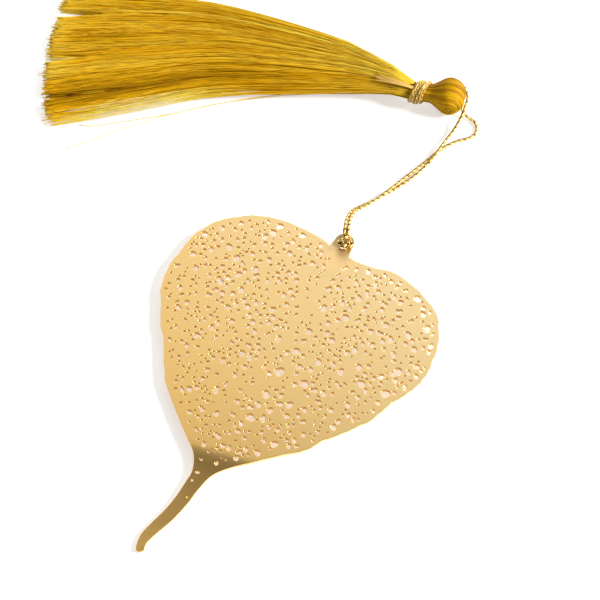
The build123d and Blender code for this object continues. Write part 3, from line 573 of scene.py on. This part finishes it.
# Faces that stand up away from the outline and the eyelet are the holes' walls. Slopes are the upward share
# of a face's direction.
FLAT_SLOPE, WALL_SLOPE = 0.9, 0.5
outer = KDTree(20 * len(ring))
for k, (x, y) in enumerate(smooth(ring, 20)[:20 * len(ring)]):
    outer.insert((x, y, 0.0), k)
outer.balance()
for face in shape.faces:
    face.normal_update()
    face.smooth = abs(face.normal.z) < FLAT_SLOPE
    spot = face.calc_center_median()
    spot.z = 0.0
    on_blade = spot.y < EYELET_Y - TAB_CLEAR or abs(spot.x) > TAB_CLEAR
    if abs(face.normal.z) < WALL_SLOPE and on_blade and outer.find(spot)[2] > HOLE_EDGE / 2:
        face.material_index = 1
for v in shape.verts:
    down = 0.5 - v.co.z / SEEN_PLATE
    v.co.z = PLATE - down * sheet_depth(v.co.x, v.co.y) + sheet_rise(v.co.x, v.co.y)
    v.co *= MM
shape.to_mesh(leaf_mesh)
shape.free()
add_piece("leaf", leaf_mesh, gold, "leaf", "leaf_metal", "leaf_plate")
# The holes' walls take the duller finish with painted shade
leaf_mesh.materials.append(pierced)

# Cord. Route points are from the eyelet centre, with the height above the table: the part's own, but for
# leg b's way into the head. The pair's points end with its twist in degrees, which comes later here.
pair_route = [(-0.2, 0.8, 4.4, 0), (-0.8, 2.1, 4.55, 3), (-2.1, 5.4, 3.6, 12), (-2.3, 8.9, 1.9, 27),
              (-0.6, 12.4, 1.05, 48), (1.3, 16.6, 1.0, 80), (3.0, 20.9, 1.0, 123), (4.6, 25.4, 1.0, 173),
              (5.7, 29.9, 1.0, 217), (6.2, 33.4, 1.0, 256)]
leg_a_route = [(6.35, 36.6, 1.0), (6.6, 40.4, 0.95), (6.75, 43.15, 2.2), (6.6, 45.15, 3.5),
               (5.75, 49.25, 3.8), (2.2, 51.4, 3.8), (0.07, 51.1, 3.8), (1.85, 46.35, 3.8)]
leg_b_route = [(7.1, 35.7, 0.5), (8.7, 38.4, 0.5), (11.0, 40.4, 0.5), (11.4, 42.8, 0.5), (9.9, 45.2, 0.5),
               (7.6, 45.3, 0.6), (6.3, 45.5, 1.5), (4.6, 46.0, 2.9), (1.85, 46.35, 3.8)]
knot_exit = (0.25, -0.45, 3.75)
EXIT_HALF = 0.3           # half distance between the legs where they leave the knot
PAIR_HALF = 0.52          # and where they twist
close_share = 0.78        # of that half distance, near the knot
PLY_PITCH = 1.35          # one turn of a ply along the cord
CORD_PLIES = 3
PLY_SIDES = 8


def placed(point):
    return np.array([point[0], point[1] + EYELET_Y, point[2] + TABLE_Z])


def leg_route(rest, way):
    # Control points of one leg; way is 1 or -1, for the two sides of the pair.
    middle = [placed(s) for s in pair_route]
    points = [placed(knot_exit) + way * EXIT_HALF * np.array([1.0, 0.2, 0.0])]
    for k, p in enumerate(middle):
        ahead = unit_rows(middle[min(k + 1, len(middle) - 1)] - middle[max(k - 1, 0)])
        side = unit_rows(np.cross(UP, ahead))
        up = np.cross(ahead, side)
        turn = math.radians(pair_route[k][3]) + (math.pi if way > 0 else 0.0)
        half = PAIR_HALF * float(np.interp(k, [2, 5], [close_share, 1.0]))
        points.append(p - side * half * math.cos(turn) + up * half * math.sin(turn))
    return points + [placed(s) for s in rest]


def spline_line(points):
    # The points of a smooth spline whose control points are given.
    curve = bpy.data.curves.new("route", "CURVE")
    curve.dimensions = "3D"
    spline = curve.splines.new("NURBS")
    spline.points.add(len(points) - 1)
    for spot, p in zip(spline.points, points):
        spot.co = (*p, 1.0)
    spline.order_u = 3
    spline.use_endpoint_u = True
    spline.resolution_u = 24
    carrier = bpy.data.objects.new("route", curve)
    mesh = bpy.data.meshes.new_from_object(carrier)
    line = np.array([v.co for v in mesh.vertices], float)
    bpy.data.objects.remove(carrier)
    bpy.data.curves.remove(curve)
    bpy.data.meshes.remove(mesh)
    return line


def plies(line, count, thick, pitch, start=0.0):
    # The centre lines of a cord's plies, wound round the cord's own line, and the radius of a ply.
    ahead, side, up = frames(line)
    along = run_along(line)
    ply = thick / 2 / (1.0 + 1.0 / math.sin(math.pi / count))
    away = thick / 2 - ply
    made = []
    for k in range(count):
        turn = start + 2.0 * math.pi * (along / pitch + k / count)
        made.append(line + away * (np.cos(turn)[:, None] * side + np.sin(turn)[:, None] * up))
    return made, ply


# The loop's plan direction, and the point in the knot about which the cord lifts
KNOT_BACK = 1.6           # behind the eyelet centre
LIFT_HEIGHT = 1.75        # above the back of the blade
bight_plan = math.radians(22.0)
bight_way = np.array([-math.sin(bight_plan), math.cos(bight_plan), 0.0])
bight_axis = np.array([math.cos(bight_plan), math.sin(bight_plan), 0.0])
lift_point = np.array([0.0, EYELET_Y, LIFT_HEIGHT]) - KNOT_BACK * bight_way

# Each leg starts inside the knot, where it bends as the cord lifts. Its plies differ more near the knot.
for name, rest, way, node_name in (("cord_a", leg_a_route, 1, "cord_leg_a"),
                                   ("cord_b", leg_b_route, -1, "cord_leg_b")):
    line = spline_line(leg_route(rest, way))
    inner = lift_point + way * EXIT_HALF * bight_axis
    leaves = line[0]
    line = np.vstack([inner + (leaves - inner) * s for s in np.linspace(0.0, 0.9, 9)] + [line])
    lines, ply = plies(line, CORD_PLIES, CORD, PLY_PITCH)
    share = np.linspace(0.0, 1.0, len(line))
    pale = ease((share - 0.1) / 0.2)
    # Painted glints along the legs, and painted shade on the darker ply; all plies are darker near the knot
    painted_glint = 0.16 * np.sin(230.0 * share) * np.sin(95.0 * share + 1.0)
    tones = [0.06 + 0.17 * pale + painted_glint, 0.95 - painted_glint, 0.42 + 0.28 * pale + painted_glint]
    mesh = tube_mesh(name, lines, [ply] * CORD_PLIES, [np.clip(t, 0.0, 1.0) for t in tones], PLY_SIDES)
    leg = add_piece(name, mesh, film, None, "cord_metallic", node_name)
    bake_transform(leg)

# Loop round the eyelet's rim
BIGHT_RADIUS = 1.6
low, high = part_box("eyelet_bight")
bight_centre = np.array((low + high) / 2) / MM
turns = np.linspace(0.0, 2.0 * math.pi, 121)
loop = bight_centre + BIGHT_RADIUS * (np.cos(turns)[:, None] * bight_way + np.sin(turns)[:, None] * UP)
lines, ply = plies(loop, CORD_PLIES, CORD, 2.0 * math.pi * BIGHT_RADIUS / 4)
# One ply painted dark as painted shade, one painted bright as a painted glint
mesh = tube_mesh("eyelet_loop", lines, [ply] * CORD_PLIES, [0.05, 1.0, 0.6], PLY_SIDES)
bight = add_piece("eyelet_loop", mesh, film, "eyelet_loop", "cord_metallic", "eyelet_bight")

# Knot over the eyelet: the doubled cord in an overhand knot, drawn tighter along the tab than the part's
KNOT_RADIUS = 0.88        # centre line radius of the knot's turns
KNOT_LIFT = 0.45          # half height of the knot's turns
KNOT_RAISE = 0.13         # drawn this much higher than the part's, clear of the plate
KNOT_SHIFT = 0.42         # and this much nearer the tab's end
tight_share = 0.78
STRAND = 0.66             # thickness of each of the two strands
STRAND_HALF = 0.29        # half distance between them
STRAND_PITCH = 1.9
PAINTED_GLINT_SPACING = 1.25
start_share, course_share = 0.27, 0.965       # of the knot's closed course: where it starts, how much it runs
knot_lean = math.radians(10.0)
knot_centre = lift_point + KNOT_RAISE * UP


def knot_point(t):
    r = KNOT_RADIUS + KNOT_LIFT * math.cos(3 * t)
    x, level, rise = r * math.cos(2 * t), r * math.sin(2 * t), KNOT_LIFT * math.sin(3 * t)
    y = level * math.cos(knot_lean) + rise * math.sin(knot_lean)
    z = rise * math.cos(knot_lean) - level * math.sin(knot_lean) + KNOT_RADIUS * math.sin(knot_lean)
    return knot_centre + bight_axis * x + bight_way * (tight_share * y + KNOT_SHIFT) + z * UP


course = np.linspace(0.0, 1.0, 260)
knot_line = np.array([knot_point(2.0 * math.pi * (start_share + course_share * s)) for s in course])
ahead, side, up = frames(knot_line)
lines, shades = [], []
for way in (-1.0, 1.0):
    strand = knot_line + way * STRAND_HALF * side
    found, ply = plies(strand, 2, STRAND, STRAND_PITCH, way)
    lines += found
    # Painted glints: the tone runs bright and dark in strokes along each strand
    swing = 2.0 * math.pi * run_along(strand) / PAINTED_GLINT_SPACING + 1.5 * way
    shades += [np.clip(0.62 + 0.62 * np.sin(swing + k), 0.0, 1.0) for k in range(2)]
mesh = tube_mesh("cord_knot_tied", lines, [ply] * len(lines), shades, PLY_SIDES)
knot = add_piece("cord_knot_tied", mesh, film, "knot", "cord_metallic", "cord_knot")

# Tassel, along its own axis: x down the skirt, y to the near side, z up
tassel_plan = math.radians(200.5)
tassel_way = np.array([math.cos(tassel_plan), math.sin(tassel_plan), 0.0])
near_way = np.array([-math.sin(tassel_plan), math.cos(tassel_plan), 0.0])
tassel_start = placed(leg_a_route[-1]) + HEAD_REACH * tassel_way
FULL_TURN = 6.28          # range of a random phase
rng = random.Random(5)


def in_tassel(points):
    p = np.asarray(points, float)
    return tassel_start + p[:, :1] * tassel_way + p[:, 1:2] * near_way + p[:, 2:] * UP[None, :]


def streak(u, x):
    # Slow change of tone across and along the yarn, between -1 and 1.
    first = np.sin(9.1 * u + 0.06 * x + 1.3)
    second = np.sin(23.0 * u - 0.045 * x + 0.4)
    third = np.sin(41.0 * u + 0.03 * x + 2.1)
    return (first + second + third) / 3.0


# Head: loops of yarn from the neck over the head's end and back below, in three layers, and more loops that
# fill its two sides
HEAD_HALF = 4.0           # half the width of the head
NECK_START, NECK_END = 0.6, -4.0
NECK_HALF, NECK_HEIGHT = 1.95, 1.98
YARN = 0.13               # radius of one yarn
HEAD_SKIN = 0.15          # the first layer's middle lies this far inside the head
head_layers = ((0.0, 64), (0.14, 54), (0.30, 44))           # depth and number of yarns
head_edge_share = 0.985   # of the half width, to the outermost yarn
side_places = (0.93, 0.95, 0.97, 0.985)                     # shares of the half width, for the sides
side_depths = np.arange(0.36, 1.15, 0.09)
tone_share = 0.8          # of the floss's range of colours; the rest is for strands painted pale as painted light


def head_loop(u, sink):
    # One folded yarn, u across the head from -1 to 1, sunk by this much below the surface.
    reach = (HEAD_RADIUS - HEAD_SKIN) * math.sqrt(1.0 - 0.93 * abs(u) ** 3.0) - sink
    tied_y, tied_z = NECK_HALF * u, NECK_HEIGHT * math.sqrt(max(0.0, 1.0 - u * u)) - 0.5 * sink
    top = [(x, tied_y, tied_z) for x in np.linspace(NECK_START, NECK_END, 5)[:-1]]
    for s in np.linspace(0.0, 1.0, 9)[:-1]:
        k = float(ease(s))
        x = NECK_END + s * (-HEAD_REACH - NECK_END)
        top.append((x, tied_y + k * (u * HEAD_HALF - tied_y), tied_z + k * (reach - tied_z)))
    turn = []
    for a in np.linspace(0, math.pi, 15):
        turn.append((-HEAD_REACH - reach * math.sin(a), u * HEAD_HALF, reach * math.cos(a)))
    below = [(x, y, -z) for x, y, z in reversed(top)]
    return np.array(top + turn + below)


lines, shades = [], []
for sink, count in head_layers:
    for k in range(count):
        u = -head_edge_share + 2.0 * head_edge_share * (k + rng.uniform(0.1, 0.9)) / count
        path = head_loop(u, sink + rng.uniform(-0.09, 0.07) + 0.10 * math.sin(11.0 * u))
        phase = rng.uniform(0.0, FULL_TURN)
        path[:, 1] += 0.12 * np.sin(np.linspace(0.0, 7.0, len(path)) + phase)
        path[:, 2] = np.maximum(path[:, 2], YARN - HEAD_RADIUS)
        lines.append(in_tassel(path))
        # Painted light and shade: darker at the neck, lighter on the near side and darker on the far side,
        # lighter along the head but held back at its end, which faces the light; a random tone on top
        outward = np.clip((-5.0 - path[:, 0]) / 7.0, 0.0, 1.0)
        shade = 0.09 + 0.30 * outward ** 0.8 * (1.0 - 0.85 * outward) + 0.17 * u
        shade = shade + 0.10 * math.sin(13.0 * u + 0.6) + rng.gauss(0.0, 0.09)
        shades.append(tone_share * np.clip(shade, 0.0, 1.0))
for side in (-1.0, 1.0):
    for sink in side_depths:
        for u in side_places:
            path = head_loop(side * u, float(sink) + rng.uniform(-0.03, 0.03))
            lines.append(in_tassel(path))
            # The near side's loops are painted lighter than the far side's, as painted light
            shades.append(np.full(len(path), 0.17 + 0.10 * side + rng.gauss(0.0, 0.05)))
mesh = tube_mesh("tassel_head_yarn", lines, [YARN] * len(lines), shades, 5)
add_piece("tassel_head_yarn", mesh, floss, "tassel", "tassel_yarn", "tassel_head")

# Binding: close turns that slant round the neck, two crossing ones and a frayed end on the skirt
BINDING_RADIUS = 0.21
BINDING_CLEAR = 0.10
BINDING_PITCH = 1.2       # one turn of its two plies
full_share = 1.2          # the plies are drawn fuller, pressed into each other
FRAY_RADIUS = 0.085
slant_share = 0.42
# Start and end along the neck, turns and height above the neck
windings = ((-3.6, -0.6, 7.0, 0.0), (-3.4, -0.9, 1.5, 0.24), (-1.0, -3.2, 1.5, 0.30))
lines, radii, shades = [], [], []
for first, last, turns, raised in windings:
    spin = np.linspace(0.0, 2.0 * math.pi * turns, int(28 * turns))
    share = spin / spin[-1]
    away = NECK_RADIUS + BINDING_CLEAR + BINDING_RADIUS + raised + 0.04 * np.sin(1.7 * spin + first)
    path = np.stack([first + (last - first) * share, away * np.cos(spin), away * np.sin(spin)], axis=1)
    path[:, 0] += slant_share * path[:, 1]
    found, ply = plies(path, 2, 2.0 * BINDING_RADIUS, BINDING_PITCH)
    lines += [in_tassel(p) for p in found]
    radii += [ply * full_share] * 2
    shades += [0.25, 0.95]
for k in range(9):
    fan = (k - 4) / 4.0
    route = [(-0.7, 0.9 + 0.3 * fan, 2.35), (2.6, 0.1 + 0.55 * fan, 2.45),
             (5.6 + 0.3 * (k % 3), -0.6 + 0.75 * fan, 2.25),
             (8.6 + 0.7 * math.sin(5.0 * k), -1.2 + 0.95 * fan, 2.02)]
    lines.append(in_tassel(smooth(route, 5)))
    radii.append(FRAY_RADIUS)
    shades.append(0.62 + 0.06 * (k % 3))
mesh = tube_mesh("neck_binding_thread", lines, radii, shades, 6)
add_piece("neck_binding_thread", mesh, thread, "tassel", "binding_thread", "neck_binding")

# Skirt. Stations: distance, middle and half width across, middle height and half height of the mass of yarn
stations = [(0.0, 0.0, 2.1, 0.0, 2.1), (4.0, -2.1, 3.6, 0.0, 2.2), (8.3, -3.2, 4.8, -0.35, 2.3),
            (18.3, -5.1, 8.0, -1.1, 2.2), (46.1, -5.65, 13.75, -1.75, 1.7), (66.0, -2.0, 18.0, -2.1, 1.4),
            (87.0, 2.8, 21.2, -2.4, 1.15)]
dense = smooth(stations, 16)


def station(x):
    return [np.interp(x, dense[:, 0], dense[:, k]) for k in range(1, 5)]


# The skirt parts into four locks near its end. Each lock has bundles of strands in four layers, top first:
# height as a share of the half height, strands in a bundle, and a factor on their radius
lock_edges = [-1.0, -0.64, 0.03, 0.61, 1.0]
strand_layers = ((0.86, 20, 0.8), (0.55, 16, 0.9), (0.1, 9, 1.2), (-0.55, 7, 1.5))
BUNDLE_WIDTH = 0.05       # as a share of the half width, as all places across the skirt
SPARSE_FROM, SPARSE_OVER = 0.72, 0.14         # the near side is sparse, and painted pale as painted light shining through
DARK_PLACE, DARK_WIDTH = 0.57, 0.18           # a darker band beside it
STRAND_STEPS = 17
STRAND_TIED, STRAND_LOOSE = 0.075, 0.105      # strand radius at the neck and at the end
SKIRT_ROUND = 2.9         # fall of the skirt's rounded end
longest_share = 0.45      # of the half width, from the middle to the longest strands on the far side
lines, radii, shades = [], [], []
for low, high in zip(lock_edges[:-1], lock_edges[1:]):
    middle = (low + high) / 2
    bundles = round((high - low) / BUNDLE_WIDTH)
    for layer, count, thick in strand_layers:
        upper = layer > 0.3
        for k in range(bundles):
            centre = low + (high - low) * (k + rng.uniform(0.15, 0.85)) / bundles
            sparse = float(ease((centre - SPARSE_FROM) / SPARSE_OVER))
            if rng.random() < sparse * (0.15 if upper else 0.75):
                continue
            spread = rng.uniform(0.018, 0.04)
            rise = layer + rng.uniform(-0.16, 0.12)
            swing = rng.gauss(0.0, 0.022)
            phase = rng.uniform(0.0, FULL_TURN)
            bundle_tone = 0.50 + rng.gauss(0.0, 0.07)
            for _ in range(round(count * (1.0 - 0.55 * sparse))):
                off = rng.gauss(0.0, 0.7)
                u = centre + (spread + 0.03 * sparse) * off
                lean = rng.gauss(0.0, 0.05 if rng.random() < 0.8 else 0.14)
                v = rise - 0.10 * off * off + 0.10 * rng.gauss(0.0, 0.7)
                end = SKIRT_LENGTH - SKIRT_ROUND * (u + longest_share) ** 2 + 0.7 * rng.gauss(0.0, 0.8)
                x = np.append(np.linspace(-0.9, end - 0.12, STRAND_STEPS - 1), end)
                share = x / SKIRT_LENGTH
                # Across: bowed and leaning, at the end drawn in and parted from the next lock
                pull = 0.13 * ease((share - 0.78) / 0.22)
                bow = swing * np.sin(3.4 * share + phase) + 0.010 * np.sin(7.0 * share + 3.0 * phase)
                across = u + pull * (middle - u) + bow * ease(share / 0.5)
                across = across + lean * (share - 0.25) * ease(share / 0.3)
                part = 0.07 * ease((share - 0.85) / 0.15)
                from_low = part * (low > -1.0 and (upper or low < -0.5))
                from_high = part * (high < 1.0 and (upper or high < -0.5))
                across = np.clip(across, low + from_low, high - from_high)
                # Up: within the mass of yarn, weaving a little over and under the next strands
                weave = np.sin(rng.uniform(0.2, 0.5) * x + rng.uniform(0.0, FULL_TURN))
                dome = np.sqrt(np.maximum(0.10, 1.0 - 0.92 * across ** 2))
                middle_y, half_y, middle_z, half_z = station(x)
                z = middle_z + half_z * np.clip(v + 0.13 * weave, -1.0, 1.0) * dome
                lines.append(in_tassel(np.stack([x, middle_y + half_y * across, z], axis=1)))
                radii.append(thick * np.linspace(STRAND_TIED, STRAND_LOOSE, STRAND_STEPS))
                # Tone: lighter at the neck, darker in the band, and painted light and shade: lighter on
                # strands woven higher and at the tips, darker towards the near side, pale where the skirt is
                # sparse
                shade = bundle_tone + 0.12 * streak(u, x) + rng.gauss(0.0, 0.11) + 0.07 * weave
                shade = shade - 0.06 * u + 0.27 * (1.0 - ease(x / 46.0)) + 0.22 * ease((x - 81.0) / 5.0)
                shade = shade - 0.24 * math.exp(-((u - DARK_PLACE) / DARK_WIDTH) ** 2)
                shade = tone_share * np.clip(shade, 0.0, 1.0)
                # Painted light: sparse strands painted pale, as light shining through them
                pale = sparse * ease((x - 30.0) / 30.0) * (1.0 - 0.7 * ease((x - 68.0) / 16.0))
                pale = pale * rng.uniform(0.6, 1.0)
                # Painted light: lower strands at the slit between the middle locks painted pale, as the light
                # seen through it
                if not upper:
                    notch = 0.9 * math.exp(-((u - lock_edges[2]) / 0.06) ** 2)
                    pale = np.maximum(pale, notch * ease((x - 60.0) / 20.0))
                shades.append(shade + pale * (1.0 - shade))
skirt_nodes = ["skirt_lock_%02d" % k for k in range(1, 13)]
add_piece("skirt", tube_mesh("skirt", lines, radii, shades, 3), floss, "tassel", "tassel_yarn", *skirt_nodes)

# Stray threads at the near side of the skirt
STRAY_RADIUS, STRAY_TONE = 0.10, 0.55
stray_routes = [[(18.8, 2.0, -2.3), (28.1, 3.7, -2.8), (37.2, 6.2, -3.0), (44.0, 8.5, -3.2),
                 (50.7, 11.4, -3.3), (58.6, 15.4, -3.4), (66.1, 20.1, -3.5), (72.5, 24.4, -3.5),
                 (76.3, 27.0, -3.5)],
                [(28.1, 3.4, -2.6), (37.2, 6.0, -3.0), (46.9, 9.7, -3.3), (56.1, 13.8, -3.4),
                 (64.0, 16.8, -3.4), (71.6, 19.5, -3.5), (75.2, 19.9, -3.5)]]
lines = [in_tassel(smooth(route, 4)) for route in stray_routes]
mesh = tube_mesh("stray_threads", lines, [STRAY_RADIUS] * len(lines), [STRAY_TONE] * len(lines), 4)
add_piece("stray_threads", mesh, floss, "tassel", "tassel_yarn")

# Stage: a white table under one soft disk light from the right; for the camera and in reflections it glows,
# more towards the back, a painted light that pales the shadows there
TABLE_HALF = 1.5                      # metres
TABLE_DROP = 0.01                     # drawn so many millimetres lower, clear of the bookmark
GLOW_NEAR, GLOW_FAR = 0.44, 0.56      # light that the table itself gives, in front and at the back
GLOW_FROM, GLOW_TO = 30.0, 80.0       # millimetres along the view, between which it changes
floor_z = (TABLE_Z - TABLE_DROP) * MM
corners = [(x, y, floor_z) for x, y in ((-TABLE_HALF, -TABLE_HALF), (TABLE_HALF, -TABLE_HALF),
                                        (TABLE_HALF, TABLE_HALF), (-TABLE_HALF, TABLE_HALF))]
floor_mesh = bpy.data.meshes.new("table")
floor_mesh.from_pydata(corners, [], [(0, 1, 2, 3)])
floor = bpy.data.objects.new("table", floor_mesh)
scene.collection.objects.link(floor)
white, tree, shader = material("white_table", {"Base Color": tint("#F0F0F0"), "Roughness": 0.6,
                                               "Specular IOR Level": 0.2,
                                               "Emission Color": (1.0, 1.0, 1.0, 1.0)})
path = node(tree, "ShaderNodeLightPath")
seen = node(tree, "ShaderNodeMath", {0: path.outputs["Is Camera Ray"], 1: path.outputs["Is Glossy Ray"]},
            operation="MAXIMUM")
seen = node(tree, "ShaderNodeMath", {0: seen.outputs[0], 1: path.outputs["Is Transmission Ray"]},
            operation="MAXIMUM")
spot = node(tree, "ShaderNodeTexCoord")
depth = node(tree, "ShaderNodeVectorMath", {0: spot.outputs["Object"], 1: tuple(LOOK_WAY)},
             operation="DOT_PRODUCT")
depth = node(tree, "ShaderNodeMapRange", {"Value": depth.outputs["Value"], "From Min": GLOW_FROM * MM,
                                          "From Max": GLOW_TO * MM, "To Min": GLOW_NEAR, "To Max": GLOW_FAR},
             interpolation_type="SMOOTHSTEP")
glow = node(tree, "ShaderNodeMath", {0: seen.outputs[0], 1: depth.outputs["Result"]}, operation="MULTIPLY")
tree.links.new(glow.outputs[0], shader.inputs["Emission Strength"])
floor_mesh.materials.append(white)

# Room: dim, with a bright panel where the flat leaf mirrors it, a white backdrop and a darker ceiling
ROOM = 0.28               # strength beside the panel, whose own is 1
BACKDROP = 1.5            # added by the backdrop behind the table
CEILING = 0.2             # share of the light that is left overhead
PANEL_INNER, PANEL_OUTER = math.radians(26.0), math.radians(43.0)
backdrop_low_share, backdrop_full_share = 0.66, 0.92          # how far a direction points along the view
ceiling_low_share, ceiling_full_share = 0.89, 0.958           # how far it points up
world = bpy.data.worlds.new("room")
world.use_nodes = True
scene.world = world
tree = world.node_tree
way = node(tree, "ShaderNodeTexCoord")
parts = node(tree, "ShaderNodeSeparateXYZ", {"Vector": way.outputs["Generated"]})
dim = node(tree, "ShaderNodeMapRange", {"Value": parts.outputs["Z"], "From Min": ceiling_low_share,
                                        "From Max": ceiling_full_share, "To Min": 1.0, "To Max": CEILING},
           interpolation_type="SMOOTHSTEP")
panel_way = tuple(LOOK_WAY * math.cos(VIEW_RISE) + UP * math.sin(VIEW_RISE))
near = node(tree, "ShaderNodeVectorMath", {0: way.outputs["Generated"], 1: panel_way},
            operation="DOT_PRODUCT")
panel = node(tree, "ShaderNodeMapRange", {"Value": near.outputs["Value"], "From Min": math.cos(PANEL_OUTER),
                                          "From Max": math.cos(PANEL_INNER), "To Min": ROOM, "To Max": 1.0},
             interpolation_type="SMOOTHSTEP")
behind = node(tree, "ShaderNodeVectorMath", {0: way.outputs["Generated"], 1: tuple(LOOK_WAY)},
              operation="DOT_PRODUCT")
backdrop = node(tree, "ShaderNodeMapRange", {"Value": behind.outputs["Value"], "To Min": 0.0,
                                             "From Min": backdrop_low_share,
                                             "From Max": backdrop_full_share, "To Max": BACKDROP},
                interpolation_type="SMOOTHSTEP")
light = node(tree, "ShaderNodeMath", {0: panel.outputs["Result"], 1: backdrop.outputs["Result"]},
             operation="ADD")
light = node(tree, "ShaderNodeMath", {0: dim.outputs["Result"], 1: light.outputs[0]}, operation="MULTIPLY")
tree.links.new(light.outputs[0], tree.nodes["Background"].inputs["Strength"])
tree.nodes["Background"].inputs["Color"].default_value = tint("#FFFDF8")

# Key light: a disk, in metres and watts
KEY_SIZE = 0.36
KEY_POWER = 16.5
KEY_DISTANCE = 1.0
KEY_RISE = math.radians(32.0)
key_data = bpy.data.lights.new("key", "AREA")
key_data.shape = "DISK"
key_data.size = KEY_SIZE
key_data.energy = KEY_POWER
key_data.color = (1.0, 0.97, 0.92)
key = bpy.data.objects.new("key", key_data)
scene.collection.objects.link(key)
key_way = unit_rows(RIGHT_WAY - LOOK_WAY * 0.05)
key_way = unit_rows(key_way * math.cos(KEY_RISE) + UP * math.sin(KEY_RISE))
key.location = Vector(LOOK_AT * MM + key_way * KEY_DISTANCE)
key.rotation_mode = "QUATERNION"
key.rotation_quaternion = Vector(-key_way).to_track_quat("-Z", "Y")
